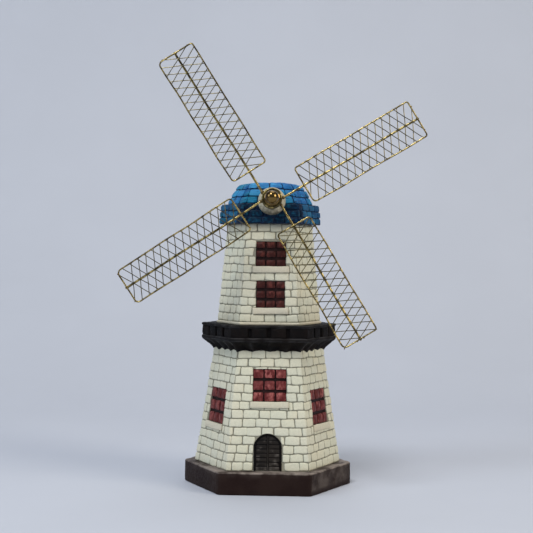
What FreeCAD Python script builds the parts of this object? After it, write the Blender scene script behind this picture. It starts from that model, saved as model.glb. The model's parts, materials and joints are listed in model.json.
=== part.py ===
"""Table-top windmill ornament with a spinning wire rotor, in millimetres.

+Z is up and the origin is the middle of the plinth's underside, on the table.
The rotor faces -Y. Each function returns the solid, or group of solids, of one node.
"""
import FreeCAD, Part
import math
import os
from collections import namedtuple
from FreeCAD import Matrix, Placement, Rotation, Vector

# Hexagons: corner radius, height, and how far the front and back faces are widened (degrees)
TOWER_WIDEN = 3.25
PLINTH_WIDEN = 1.7
PLINTH_TURN = -2.3
PLINTH_RADIUS = 55.0
PLINTH_HEIGHT = 14.1
PLINTH_CHAMFER = 0.9

LOWER_BASE_RADIUS = 47.2
LOWER_TOP_RADIUS = 34.6
GALLERY_Z = 94.5
GALLERY_TOP_Z = 104.9
UPPER_BASE_RADIUS = 33.6
UPPER_TOP_RADIUS = 27.4
CAP_Z = 169.5
WALL = 4.0

# Gallery round the waist of the tower
GALLERY_RADIUS = 44.0
PANEL_RADIUS = 42.4
RAIL_RADIUS = 44.4
TOP_RAIL_HEIGHT = 1.7
BOTTOM_RAIL_HEIGHT = 2.6
BAYS_PER_FACE = 4
SLOT_WIDTH = 3.4
BRACKET_DROP = 6.8
BRACKET_WIDTH = 7.4
BRACKET_POINT = 2.4
BRACKET_EDGE = 0.8
BRACKET_REACH = 15.0

# Cap: outline of the tiled roof as (corner radius, height) above its skirt
SKIRT_BASE_RADIUS = 32.9
SKIRT_TOP_RADIUS = 31.7
SKIRT_TOP_Z = 182.2
ROOF_OUTLINE = ((27.7, 182.2), (24.3, 189.0), (21.0, 194.2), (18.8, 195.4), (14.0, 196.1))
ROOF_CEILING_Z = 192.4

# Windows: the foot is the height of the opening's lower edge, the shift is sideways on its face
FRONT, LEFT, RIGHT = 4, 3, 5
Window = namedtuple("Window", "name stage face shift foot height width sill_width")
WINDOWS = (
    Window("lower_front", "lower", FRONT, 0.8, 56.9, 20.6, 21.4, 24.4),
    Window("lower_left", "lower", LEFT, -1.6, 41.2, 22.4, 20.8, 23.4),
    Window("lower_right", "lower", RIGHT, 1.6, 41.2, 22.4, 20.8, 23.4),
    Window("upper_low", "upper", FRONT, 0.8, 115.8, 17.2, 18.6, 23.0),
    Window("upper_high", "upper", FRONT, 0.8, 142.2, 16.0, 19.4, 23.6),
)
PANES = 3
PANE_BORDER = 0.5
PANE_GAP_ACROSS = 1.2
PANE_GAP_UP = 2.3
PANE_RISE = 0.9
WINDOW_DEPTH = 1.2
SILL_HEIGHT = 4.1
SILL_RISE = 1.5

DOOR_WIDTH = 17.2
DOOR_HEIGHT = 22.7
DOOR_DEPTH = 1.0
DOOR_FOOT_Z = PLINTH_HEIGHT + 0.2

# Windshaft: it passes through HUB_POINT and points forward and slightly up
HUB_POINT = Vector(0.9, -42.0, 184.6)
SHAFT_TILT = 4.0
SHAFT_RADIUS = 2.0
RUNNING_CLEARANCE = 0.05
END_FLOAT = 0.3
BUSH_RADIUS = 3.2
BUSH_FRONT = -9.0
BUSH_LENGTH = 22.0
BOSS_RADIUS = 8.8
BOSS_FRONT = -9.5
BOSS_LENGTH = 18.0
BOSS_DOME = 4.5
HUB_RADIUS = 6.5
HUB_LENGTH = 4.6
SPACER_RADIUS = 4.4
WASHER = 0.8
FRONT_WASHER_RADIUS = 5.8
REAR_WASHER_RADIUS = 4.5
REAR_NUT_FLATS = 7.0
REAR_NUT_LENGTH = 3.2
SHAFT_PAST_NUT = 1.5
SHAFT_IN_BALL = 3.4
NUT_BALL_RADIUS = 4.3
NUT_SEAT_RADIUS = 5.0
NUT_SEAT_LENGTH = 1.2
BALL_ABOVE_SEAT = 3.3

# Sails: direction in degrees, sideways set of the rod, length and width of the frame.
# They are bent and soldered by hand, so no two are quite alike.
Sail = namedtuple("Sail", "name direction offset length width")
SAILS = (
    Sail("sail_1", 122.7, 3.0, 88.8, 24.6),
    Sail("sail_2", 31.1, -3.1, 82.8, 24.8),
    Sail("sail_3", 213.5, -2.1, 84.6, 23.6),
    Sail("sail_4", 301.0, 2.9, 82.0, 23.4),
)
SAIL_START = 21.5
ROD_START = 4.0
ROD_RADIUS = 0.7
FRAME_RADIUS = 0.5
MESH_RADIUS = 0.24
MESH_SLANT = 27.0
MESH_PITCH = 5.3
FRAME_CORNER = 1.6
SOLDER_BITE = 0.1

# Cutting tools run this far past what they cut
PAST = 5.0

TOWER_STAGES = {
    "lower": ((LOWER_BASE_RADIUS, PLINTH_HEIGHT), (LOWER_TOP_RADIUS, GALLERY_Z)),
    "upper": ((UPPER_BASE_RADIUS, GALLERY_TOP_Z), (UPPER_TOP_RADIUS, CAP_Z)),
}


def hexagon(radius, z, widen=TOWER_WIDEN, turn=0.0):
    """Six corners of a hexagon whose front and back faces are a little wide."""
    degrees = (0, 60 - widen, 120 + widen, 180, 240 - widen, 300 + widen)
    angles = [math.radians(a + turn) for a in degrees]
    return [Vector(radius * math.cos(a), radius * math.sin(a), z) for a in angles]


def face_of(corners):
    return Part.Face(Part.makePolygon(list(corners) + [corners[0]]))


def stack(outline, widen=TOWER_WIDEN, turn=0.0):
    """Hexagonal solid whose flat sides pass through each (corner radius, height)."""
    rings = [hexagon(radius, z, widen, turn) for radius, z in outline]
    faces = [face_of(rings[0]), face_of(rings[-1])]
    for low, high in zip(rings, rings[1:]):
        for i in range(6):
            j = (i + 1) % 6
            faces.append(face_of((low[i], low[j], high[j], high[i])))
    solid = Part.makeSolid(Part.makeShell(faces))
    if solid.Volume < 0:
        solid.reverse()
    return solid


def shell_of(outline, wall, past=0.5):
    """Stack with a similar stack taken out of it, open at the top and the bottom."""
    inner = [(radius - wall, z) for radius, z in outline]
    inner[0] = (inner[0][0], inner[0][1] - past)
    inner[-1] = (inner[-1][0], inner[-1][1] + past)
    return stack(outline).cut(stack(inner))


def on_face(stage, face, z, shift=0.0):
    """Placement on a wall face: local X runs across it, Y up its slope and Z outward."""
    (r0, z0), (r1, z1) = TOWER_STAGES[stage]
    low = hexagon(r0, z0)
    high = hexagon(r1, z1)
    following = (face + 1) % 6
    foot = (low[face] + low[following]) * 0.5
    head = (high[face] + high[following]) * 0.5
    across = (low[following] - low[face]).normalize()
    up = (head - foot).normalize()
    out = across.cross(up)
    at = foot + up * ((z - z0) / up.z) + across * shift
    axes = Matrix(across.x, up.x, out.x, at.x,
                  across.y, up.y, out.y, at.y,
                  across.z, up.z, out.z, at.z,
                  0, 0, 0, 1)
    return Placement(axes)


def placed(shape, placement):
    result = shape.copy()
    result.Placement = placement.multiply(result.Placement)
    return result


def block(width, height, depth, z=0.0):
    """Box centred across X, standing on Y = 0, from z outward."""
    return Part.makeBox(width, height, depth, Vector(-width / 2, 0, z))


def plinth():
    outline = ((PLINTH_RADIUS, 0), (PLINTH_RADIUS, PLINTH_HEIGHT - PLINTH_CHAMFER),
               (PLINTH_RADIUS - PLINTH_CHAMFER, PLINTH_HEIGHT))
    return stack(outline, PLINTH_WIDEN, PLINTH_TURN)


def arch(width, height, depth, z=0.0):
    """Round-headed slab standing on Y = 0."""
    radius = width / 2
    spring = height - radius
    left = Vector(-radius, spring, z)
    right = Vector(radius, spring, z)
    edges = [Part.LineSegment(Vector(-radius, 0, z), Vector(radius, 0, z)).toShape(),
             Part.LineSegment(Vector(radius, 0, z), right).toShape(),
             Part.Arc(right, Vector(0, height, z), left).toShape(),
             Part.LineSegment(left, Vector(-radius, 0, z)).toShape()]
    return Part.Face(Part.Wire(edges)).extrude(Vector(0, 0, depth))


def door():
    slab = arch(DOOR_WIDTH, DOOR_HEIGHT, DOOR_DEPTH, -DOOR_DEPTH)
    return placed(slab, on_face("lower", FRONT, DOOR_FOOT_Z))


def window_place(window):
    return on_face(window.stage, window.face, window.foot, window.shift)


def window_grid(window):
    """Dark backing of a window, let into the wall; its surface shows between the panes."""
    backing = block(window.width, window.height, WINDOW_DEPTH - PANE_RISE, -WINDOW_DEPTH)
    return placed(backing, window_place(window))


def window_panes(window):
    """Nine raised panes that stand on the backing."""
    pane_width = (window.width - 2 * PANE_BORDER - (PANES - 1) * PANE_GAP_ACROSS) / PANES
    pane_height = (window.height - 2 * PANE_BORDER - (PANES - 1) * PANE_GAP_UP) / PANES
    panes = []
    for column in range(PANES):
        for row in range(PANES):
            x = -window.width / 2 + PANE_BORDER + column * (pane_width + PANE_GAP_ACROSS)
            y = PANE_BORDER + row * (pane_height + PANE_GAP_UP)
            panes.append(Part.makeBox(pane_width, pane_height, PANE_RISE, Vector(x, y, -PANE_RISE)))
    return placed(Part.makeCompound(panes), window_place(window))


def window_sill(window):
    corner = Vector(-window.sill_width / 2, -SILL_HEIGHT, 0)
    return placed(Part.makeBox(window.sill_width, SILL_HEIGHT, SILL_RISE, corner), window_place(window))


def tower_stage(stage):
    """Hollow stage of the tower with a shallow pocket for each window and for the door."""
    body = shell_of(TOWER_STAGES[stage], WALL)
    for window in WINDOWS:
        if window.stage == stage:
            pocket = block(window.width, window.height, WINDOW_DEPTH + PAST, -WINDOW_DEPTH)
            body = body.cut(placed(pocket, window_place(window)))
    if stage == "lower":
        pocket = arch(DOOR_WIDTH, DOOR_HEIGHT, DOOR_DEPTH + PAST, -DOOR_DEPTH)
        body = body.cut(placed(pocket, on_face("lower", FRONT, DOOR_FOOT_Z)))
    return body


def gallery_core():
    """Black casting between the stages; its outer face is the sunk panel behind the boards."""
    outline = ((PANEL_RADIUS, GALLERY_Z), (PANEL_RADIUS, GALLERY_TOP_Z))
    return shell_of(outline, PANEL_RADIUS - (UPPER_BASE_RADIUS - WALL))


def band(radius, z0, z1):
    """Hexagonal band laid round the core."""
    inside = stack(((PANEL_RADIUS, z0 - PAST), (PANEL_RADIUS, z1 + PAST)))
    return stack(((radius, z0), (radius, z1))).cut(inside)


def at_bays(outline, first):
    """Copies of an upright (across, height) outline at the bays of each face, run through the gallery.

    The first bay is 0 where the corners have a copy too, and 1 where they have none.
    """
    corners = hexagon(RAIL_RADIUS, 0)
    profile = face_of([Vector(-BRACKET_REACH, y, z) for y, z in outline])
    tool = profile.extrude(Vector(BRACKET_REACH + PAST, 0, 0))
    copies = []
    for i in range(6):
        run = corners[(i + 1) % 6] - corners[i]
        for bay in range(first, BAYS_PER_FACE):
            at = corners[i] + run * (bay / BAYS_PER_FACE)
            outward = at if bay == 0 else Vector(run.y, -run.x, 0)
            turn = Rotation(Vector(0, 0, 1), math.degrees(math.atan2(outward.y, outward.x)))
            copies.append(placed(tool, Placement(at, turn)))
    return copies


def gallery_boards():
    """Upright boards between the two rails, with dark slots between them; some wrap the corners."""
    z0 = GALLERY_Z + BOTTOM_RAIL_HEIGHT
    z1 = GALLERY_TOP_Z - TOP_RAIL_HEIGHT
    half = SLOT_WIDTH / 2
    boards = band(GALLERY_RADIUS, z0, z1)
    for slot in at_bays(((-half, z0 - PAST), (half, z0 - PAST), (half, z1 + PAST), (-half, z1 + PAST)), 1):
        boards = boards.cut(slot)
    return boards


def gallery_brackets():
    """Corbels under the gallery, from its lower edge in to a point on the wall."""
    (r0, z0), (r1, z1) = TOWER_STAGES["lower"]
    foot_z = GALLERY_Z - BRACKET_DROP
    foot_radius = r1 + (r0 - r1) * (GALLERY_Z - foot_z) / (z1 - z0)
    edge_radius = GALLERY_RADIUS
    ring = stack(((foot_radius, foot_z), (edge_radius, GALLERY_Z - BRACKET_EDGE), (edge_radius, GALLERY_Z)))
    ring = ring.cut(stack(((r0, z0), (r1, z1))))
    half = BRACKET_WIDTH / 2
    corbel = ((0, foot_z), (half, foot_z + BRACKET_POINT), (half, GALLERY_Z),
              (-half, GALLERY_Z), (-half, foot_z + BRACKET_POINT))
    return Part.makeCompound([ring.common(tool).Solids[0] for tool in at_bays(corbel, 0)])


def on_shaft(shape):
    """Turn a shape built round +Z, with the sails in its XY plane, to the windshaft."""
    return placed(shape, Placement(HUB_POINT, Rotation(Vector(1, 0, 0), 90 - SHAFT_TILT)))


def disc(radius, z0, z1, bore=0.0):
    solid = Part.makeCylinder(radius, z1 - z0, Vector(0, 0, z0))
    if bore:
        solid = solid.cut(Part.makeCylinder(bore, z1 - z0 + 2, Vector(0, 0, z0 - 1)))
    return solid


def boss_hole():
    return on_shaft(disc(BOSS_RADIUS, BOSS_FRONT - BOSS_LENGTH, BOSS_FRONT + PAST))


def bearing_boss():
    """Domed plug through the cap's front wall, bored for the bush."""
    solid = disc(BOSS_RADIUS, BOSS_FRONT - BOSS_LENGTH, BOSS_FRONT, BUSH_RADIUS)
    rim = [e for e in solid.Edges if abs(e.BoundBox.ZMin - BOSS_FRONT) < 1e-6
           and e.BoundBox.XLength > BOSS_RADIUS]
    return on_shaft(solid.makeFillet(BOSS_DOME, rim))


def bearing_bush():
    return on_shaft(disc(BUSH_RADIUS, BUSH_FRONT - BUSH_LENGTH, BUSH_FRONT,
                         SHAFT_RADIUS + RUNNING_CLEARANCE))


def cap_skirt():
    return shell_of(((SKIRT_BASE_RADIUS, CAP_Z), (SKIRT_TOP_RADIUS, SKIRT_TOP_Z)),
                    SKIRT_BASE_RADIUS - UPPER_TOP_RADIUS + WALL).cut(boss_hole())


def cap_roof():
    """Tiled roof, hollow underneath, with its flat top closed."""
    inside = [(radius - WALL, z) for radius, z in ROOF_OUTLINE if z < ROOF_CEILING_Z]
    inside[0] = (inside[0][0], inside[0][1] - 0.5)
    slope_radius, slope_z = inside[-1]
    inside.append((slope_radius - 2.0, ROOF_CEILING_Z))
    return stack(ROOF_OUTLINE).cut(stack(inside)).cut(boss_hole())


def hexagon_nut(flats, z0, z1):
    radius = flats / math.sqrt(3)
    points = [Vector(radius * math.cos(math.radians(60 * i)), radius * math.sin(math.radians(60 * i)), z0)
              for i in range(6)]
    nut = face_of(points).extrude(Vector(0, 0, z1 - z0))
    return nut.cut(Part.makeCylinder(SHAFT_RADIUS, z1 - z0 + 2, Vector(0, 0, z0 - 1)))


# Places along the windshaft, forward of the hub point
HUB_BACK = -HUB_LENGTH / 2
HUB_FRONT = HUB_LENGTH / 2
FRONT_WASHER_Z = BUSH_FRONT + END_FLOAT
REAR_WASHER_Z = BUSH_FRONT - BUSH_LENGTH - END_FLOAT - WASHER
SHAFT_BACK = REAR_WASHER_Z - REAR_NUT_LENGTH - SHAFT_PAST_NUT
SHAFT_FRONT = HUB_FRONT + SHAFT_IN_BALL


def windshaft():
    return on_shaft(disc(SHAFT_RADIUS, SHAFT_BACK, SHAFT_FRONT))


def front_washer():
    return on_shaft(disc(FRONT_WASHER_RADIUS, FRONT_WASHER_Z, FRONT_WASHER_Z + WASHER, SHAFT_RADIUS))


def hub_spacer():
    return on_shaft(disc(SPACER_RADIUS, FRONT_WASHER_Z + WASHER, HUB_BACK, SHAFT_RADIUS))


def rear_washer():
    return on_shaft(disc(REAR_WASHER_RADIUS, REAR_WASHER_Z, REAR_WASHER_Z + WASHER, SHAFT_RADIUS))


def rear_nut():
    return on_shaft(hexagon_nut(REAR_NUT_FLATS, REAR_WASHER_Z - REAR_NUT_LENGTH, REAR_WASHER_Z))


def rod_blank(sail):
    """Rod of one sail, along +X before it is turned to its direction."""
    length = SAIL_START + sail.length + FRAME_RADIUS - ROD_START
    return Part.makeCylinder(ROD_RADIUS, length, Vector(ROD_START, sail.offset, 0), Vector(1, 0, 0))


def turned(shape, sail):
    return on_shaft(placed(shape, Placement(Vector(0, 0, 0), Rotation(Vector(0, 0, 1), sail.direction))))


def hub():
    """Disc that carries the four sail rods in drilled holes."""
    solid = on_shaft(disc(HUB_RADIUS, HUB_BACK, HUB_FRONT, SHAFT_RADIUS))
    for sail in SAILS:
        solid = solid.cut(turned(rod_blank(sail), sail))
    return solid


def ball_nut():
    """Ball-headed nut on the shaft's front end, with a round seat."""
    seat = disc(NUT_SEAT_RADIUS, HUB_FRONT, HUB_FRONT + NUT_SEAT_LENGTH)
    ball = Part.makeSphere(NUT_BALL_RADIUS, Vector(0, 0, HUB_FRONT + NUT_SEAT_LENGTH + BALL_ABOVE_SEAT))
    nut = seat.fuse(ball.common(disc(NUT_SEAT_RADIUS, HUB_FRONT, HUB_FRONT + 3 * NUT_BALL_RADIUS)))
    return on_shaft(nut.cut(disc(SHAFT_RADIUS, HUB_FRONT - PAST, SHAFT_FRONT)))


FRAME_Z = ROD_RADIUS + FRAME_RADIUS


def sail_rod(sail):
    return turned(rod_blank(sail), sail)


def sail_frame(sail):
    """Wire bent into a long rectangle with round corners, laid on the rod."""
    length, width = sail.length, sail.width
    centre = Vector(SAIL_START + length / 2, sail.offset, FRAME_Z)
    straight_x = length / 2 - FRAME_CORNER
    straight_y = width / 2 - FRAME_CORNER
    pieces = []
    for side in (1, -1):
        long_start = centre + Vector(-straight_x, side * width / 2, 0)
        pieces.append(Part.makeCylinder(FRAME_RADIUS, 2 * straight_x, long_start, Vector(1, 0, 0)))
        short_start = centre + Vector(side * length / 2, -straight_y, 0)
        pieces.append(Part.makeCylinder(FRAME_RADIUS, 2 * straight_y, short_start, Vector(0, 1, 0)))
    for quarter, (sx, sy) in enumerate(((1, 1), (-1, 1), (-1, -1), (1, -1))):
        corner = Part.makeTorus(FRAME_CORNER, FRAME_RADIUS, Vector(0, 0, 0), Vector(0, 0, 1), -180, 180, 90)
        spot = centre + Vector(sx * straight_x, sy * straight_y, 0)
        pieces.append(placed(corner, Placement(spot, Rotation(Vector(0, 0, 1), 90 * quarter))))
    frame = pieces[0].fuse(pieces[1:])
    return turned(frame, sail)


def to_frame(x, y, length, width):
    """Distance from a point to the frame's centre line, negative inside it."""
    px = abs(x) - (length / 2 - FRAME_CORNER)
    py = abs(y) - (width / 2 - FRAME_CORNER)
    outside = math.hypot(max(px, 0), max(py, 0))
    return outside + min(max(px, py), 0) - FRAME_CORNER


def mesh_end(x, y, dx, dy, length, width):
    """Walk from a point inside the frame to the solder line on the frame wire."""
    low, high = 0.0, length + width
    while high - low > 1e-6:
        middle = (low + high) / 2
        if to_frame(x + dx * middle, y + dy * middle, length, width) < -SOLDER_BITE:
            low = middle
        else:
            high = middle
    return x + dx * low, y + dy * low


def sail_mesh(sail):
    """Two layers of fine wires that cross at a slant and end on the frame."""
    length, width = sail.length, sail.width
    slant = math.radians(MESH_SLANT)
    centre = Vector(SAIL_START + length / 2, sail.offset, 0)
    reach = length / 2 + width / 2 * math.tan(slant)
    count = int(2 * reach / MESH_PITCH)
    wires = []
    for layer, lean in enumerate((1, -1)):
        z = ROD_RADIUS + 0.25 + 0.5 * layer
        dx = lean * math.sin(slant)
        dy = math.cos(slant)
        for k in range(count + 1):
            on_rod = (k - count / 2) * MESH_PITCH
            inward = max(0.0, abs(on_rod) - length / 2 + 1) / math.sin(slant)
            side = -1 if on_rod * lean > 0 else 1
            x = on_rod + dx * inward * side
            y = dy * inward * side
            if to_frame(x, y, length, width) > -1.0:
                continue
            ax, ay = mesh_end(x, y, dx, dy, length, width)
            bx, by = mesh_end(x, y, -dx, -dy, length, width)
            span = math.hypot(ax - bx, ay - by)
            start = centre + Vector(bx, by, z)
            wires.append(Part.makeCylinder(MESH_RADIUS, span, start, Vector(dx, dy, 0)))
    return turned(Part.makeCompound(wires), sail)


def build():
    nodes = {
        "plinth": plinth(),
        "lower_tower": tower_stage("lower"),
        "upper_tower": tower_stage("upper"),
        "door": door(),
        "gallery_core": gallery_core(),
        "gallery_bottom_rail": band(RAIL_RADIUS, GALLERY_Z, GALLERY_Z + BOTTOM_RAIL_HEIGHT),
        "gallery_top_rail": band(RAIL_RADIUS, GALLERY_TOP_Z - TOP_RAIL_HEIGHT, GALLERY_TOP_Z),
        "gallery_boards": gallery_boards(),
        "gallery_brackets": gallery_brackets(),
        "cap_skirt": cap_skirt(),
        "cap_roof": cap_roof(),
        "bearing_boss": bearing_boss(),
        "bearing_bush": bearing_bush(),
        "windshaft": windshaft(),
        "front_washer": front_washer(),
        "hub_spacer": hub_spacer(),
        "rear_washer": rear_washer(),
        "rear_nut": rear_nut(),
        "hub": hub(),
        "ball_nut": ball_nut(),
    }
    for window in WINDOWS:
        nodes[window.name + "_window_grid"] = window_grid(window)
        nodes[window.name + "_window_panes"] = window_panes(window)
        nodes[window.name + "_sill"] = window_sill(window)
    for sail in SAILS:
        nodes[sail.name + "_rod"] = sail_rod(sail)
        nodes[sail.name + "_frame"] = sail_frame(sail)
        nodes[sail.name + "_mesh"] = sail_mesh(sail)
    return nodes


os.makedirs("parts", exist_ok=True)
for node, shape in build().items():
    shape.exportStep("parts/" + node + ".step")
    box = shape.BoundBox
    print("%-28s solids %2d valid %s volume %9.1f  z %.1f to %.1f" % (
        node, len(shape.Solids), shape.isValid(), shape.Volume, box.ZMin, box.ZMax))
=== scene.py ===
"""Looks of the table-top windmill ornament.

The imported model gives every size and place. Shapes are worked out in millimetres and
scaled to metres when a piece is made.
"""
import json
import math
import random
import bpy
from mathutils import Matrix, Vector, noise


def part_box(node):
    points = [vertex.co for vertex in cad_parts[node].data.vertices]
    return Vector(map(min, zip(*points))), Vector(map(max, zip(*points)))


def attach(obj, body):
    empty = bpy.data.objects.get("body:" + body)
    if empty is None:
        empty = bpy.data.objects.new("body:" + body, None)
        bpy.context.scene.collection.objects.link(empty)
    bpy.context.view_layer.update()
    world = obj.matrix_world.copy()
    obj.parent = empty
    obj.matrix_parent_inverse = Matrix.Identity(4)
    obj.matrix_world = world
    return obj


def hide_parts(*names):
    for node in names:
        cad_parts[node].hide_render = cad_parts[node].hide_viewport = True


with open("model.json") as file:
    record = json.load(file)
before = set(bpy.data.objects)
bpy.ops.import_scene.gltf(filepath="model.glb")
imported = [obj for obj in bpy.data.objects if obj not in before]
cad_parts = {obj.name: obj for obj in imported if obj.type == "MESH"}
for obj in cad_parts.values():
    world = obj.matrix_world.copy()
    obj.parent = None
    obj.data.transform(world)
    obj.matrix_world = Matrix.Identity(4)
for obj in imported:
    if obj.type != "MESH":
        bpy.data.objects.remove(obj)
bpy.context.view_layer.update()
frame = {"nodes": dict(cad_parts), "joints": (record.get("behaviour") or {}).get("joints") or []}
# The uneven casting is the same on every run
noise.seed_set(5)

MM = 0.001
TOWER = "tower"
ROTOR = "rotor"
SAILS = ("sail_1", "sail_2", "sail_3", "sail_4")
# Each window and how bright its red panes are
PANE_TINTS = {"lower_front": 1.0, "lower_left": 0.74, "lower_right": 0.76, "upper_low": 0.04, "upper_high": 0.0}
# Which face of a hexagonal wall looks forward
FRONT = 4
# How far out a hexagon's faces stand, as a share of its corner radius
FACE_SHARE = 0.86

# The windshaft's axis: a point on it, forward along it, and the two directions across it
JOINT_RECORD = next(j for j in frame["joints"] if j["name"] == "rotor_spin")
SHAFT_AT = Vector(JOINT_RECORD["pos_m"]) / MM
FORWARD = Vector(JOINT_RECORD["axis"]).normalized()
ACROSS = Vector((1.0, 0.0, 0.0))
UPWARD = FORWARD.cross(ACROSS)

# Camera: place in metres, then pitch, yaw and roll in degrees
CAMERA_AT = (-0.0028, -0.75975, 0.14645)
CAMERA_PITCH, CAMERA_YAW, CAMERA_ROLL = 89.66, -0.063, 0.62
CAMERA_LENS = 77.84
CAMERA_SENSOR = 36.0

# Bricks and tiles: width and height, then the joints between them and how far they stand out
LOWER_BRICK = (8.6, 5.33)
UPPER_BRICK = (7.7, 5.1)
SKIRT_TILE = (8.0, 4.25)
ROOF_TILE = (7.8, 5.0)
COURSE_JOINT = 0.30
UPRIGHT_JOINT = 0.27
BRICK_RISE = 0.55
TILE_RISE = 0.7
CROWN_TILE_RISE = 0.4
# A tile's hidden back lies this far behind the wall
TILE_BACK = -0.3
# Height and dirt of a tile's first four grid rings, from its course joints and its upright joints inward
COURSE_RISE = (-0.1, 0.55, 0.90, 1.0)
UPRIGHT_RISE = (0.0, 0.62, 0.92, 1.0)
COURSE_DIRT = (1.0, 0.7, 0.15, 0.0)
UPRIGHT_DIRT = (1.0, 0.6, 0.1, 0.0)

# Painted shade on the cap skirt's front tiles: how dark they are washed, and the share of their paler blue they
# keep; then how far the plinth's right side is painted paler, as painted light
SKIRT_PAINTED_SHADE = 0.82
SKIRT_SHADE_DIMMING = 0.15
PLINTH_PAINTED_LIGHT = 0.4

# Windows and door
PANE_CROWN = 0.45
DOOR_BORDER = 1.1
DOOR_RIB = 0.9
DOOR_BOARDS = 8
DOOR_SINK = 0.35

# Corbels: steps across and down each point, how deep the points are, how far the notches between
# them draw in, and the least thickness over the tower wall
CORBEL_STEPS = (10, 8)
CORBEL_POINT = 1.4
CORBEL_NOTCH = 1.9
CORBEL_COVER = 0.95

# Turned parts
BALL_RADIUS = 4.3
BALL_NECK = 3.15
BOSS_DOME = 4.5

# How far the hand-straightened rods and mesh wires sway, and how much thicker the mesh wires are made
ROD_SWAY = 0.22
MESH_SWAY = 0.16
MESH_SWELL = 1.1
# Beads of solder: half sizes along the wire, across it and forward
ROD_BEAD = (1.3, 1.1, 0.95)
FRAME_BEAD = (0.95, 1.2, 1.0)
MESH_BEAD = (0.62, 0.42, 0.42)
# Radius of the four bends of each sail's frame: two at its outer end, two at its inner end, then back
FRAME_BENDS = {"sail_1": (2.8, 2.0, 1.8, 1.3), "sail_2": (1.5, 1.7, 2.2, 1.5),
               "sail_3": (2.6, 1.8, 2.0, 3.0), "sail_4": (1.4, 1.8, 1.7, 2.7)}
# The outer end of a frame stays this far inside the CAD frame, for its uneven bends
OUTER_SLACK = 0.55

# Pale floor and backdrop: half width, front and back of the flat part, and the sweep up to the top
FLOOR_HALF, FLOOR_FRONT, FLOOR_BACK = 3.0, -2.2, 0.30
SWEEP_RADIUS, BACKDROP_TOP = 0.6, 3.0

# Soft studio lights, all aimed at one point: name, place, size, power and colour
LIGHT_TARGET = Vector((0.0, 0.0, 0.15))
LIGHTS = (
    ("key", (-0.50, -0.95, 1.65), (0.6, 0.5), 18.6, (0.99, 0.99, 1.0)),
    ("fill", (1.30, -0.80, 0.80), (0.7, 0.7), 14.2, (1.0, 0.905, 0.735)),
    ("left", (-1.20, -0.75, 0.75), (0.7, 0.7), 7.0, (0.84, 0.93, 1.0)),
    ("top", (0.1, 0.25, 1.6), (1.0, 1.0), 6.0, (1.0, 1.0, 1.0)),
)


# ---------------------------------------------------------------- reading the frame

def points_of(node):
    """Vertices of a CAD node, in millimetres."""
    return [v.co / MM for v in frame["nodes"][node].data.vertices]


def loose_parts(node):
    """Vertices of each separate solid of a CAD node, in millimetres."""
    mesh = frame["nodes"][node].data
    points = points_of(node)
    key = [tuple(round(c, 3) for c in p) for p in points]
    leader = {k: k for k in key}

    def find(k):
        while leader[k] != k:
            leader[k] = leader[leader[k]]
            k = leader[k]
        return k

    for edge in mesh.edges:
        a, b = (find(key[i]) for i in edge.vertices)
        leader[a] = b
    groups = {}
    for k in sorted(leader):
        groups.setdefault(find(k), []).append(Vector(k))
    return list(groups.values())


def repaint(node, material):
    """Give a CAD node that stays in sight one material."""
    frame["nodes"][node].data.materials[0] = material


def middle(points):
    return sum(points, Vector()) / len(points)


def corner_angles(node):
    """Directions of the six corners of a hexagonal node, in radians, lowest first."""
    points = points_of(node)
    radius = max(p.xy.length for p in points)
    angles = {round(math.atan2(p.y, p.x) % math.tau, 4) % round(math.tau, 4)
              for p in points if p.xy.length > radius - 0.05}
    merged = []
    for a in sorted(angles):
        if not merged or a - merged[-1] > 0.05:
            merged.append(a)
    return merged


def outline_of(node):
    """(corner radius, height) levels up the outside of a hexagonal node."""
    first = corner_angles(node)[0]
    widest = {}
    for p in points_of(node):
        if abs(math.remainder(math.atan2(p.y, p.x) - first, math.tau)) < 0.002:
            z = round(p.z, 2)
            widest[z] = max(widest.get(z, 0), p.xy.length)
    levels = sorted(widest.items())
    kept = []
    for z, r in levels:
        low = [(a, b) for a, b in levels if a < z]
        high = [(a, b) for a, b in levels if a > z]
        if not any(r < b0 + (b1 - b0) * (z - a0) / (a1 - a0) - 0.3 for a0, b0 in low for a1, b1 in high):
            kept.append((r, z))
    return kept


class Face:
    """A flat node's own axes: x across, y up, z outward, with its outer surface at z = 0."""

    def __init__(self, node):
        points = points_of(node)
        centre = middle([min_max(points, min), min_max(points, max)])
        self.z = flat_normal(node, centre)
        self.x = Vector((0, 0, 1)).cross(self.z).normalized()
        self.y = self.z.cross(self.x)
        across = [p.dot(self.x) for p in points]
        up = [p.dot(self.y) for p in points]
        out = [p.dot(self.z) for p in points]
        self.width = max(across) - min(across)
        self.height = max(up) - min(up)
        self.depth = max(out) - min(out)
        self.at = (self.x * (max(across) + min(across)) / 2 + self.y * (max(up) + min(up)) / 2
                   + self.z * max(out))

    def place(self, x, y, z):
        return self.at + self.x * x + self.y * y + self.z * z

    def local(self, point):
        offset = point - self.at
        return Vector((offset.dot(self.x), offset.dot(self.y), offset.dot(self.z)))


def min_max(points, pick):
    return Vector((pick(p.x for p in points), pick(p.y for p in points), pick(p.z for p in points)))


def flat_normal(node, centre):
    """Outward direction of a slab that leans on the tower: the normal of its largest outer face."""
    sums = {}
    for face in frame["nodes"][node].data.polygons:
        n = face.normal
        if n.xy.dot(centre.xy) > 0 and n.xy.length > 0.8:
            key = tuple(round(c, 2) for c in n)
            sums[key] = sums.get(key, 0.0) + face.area
    best = max(sorted(sums), key=sums.get)
    return Vector(best).normalized()


# ---------------------------------------------------------------- meshes

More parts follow.
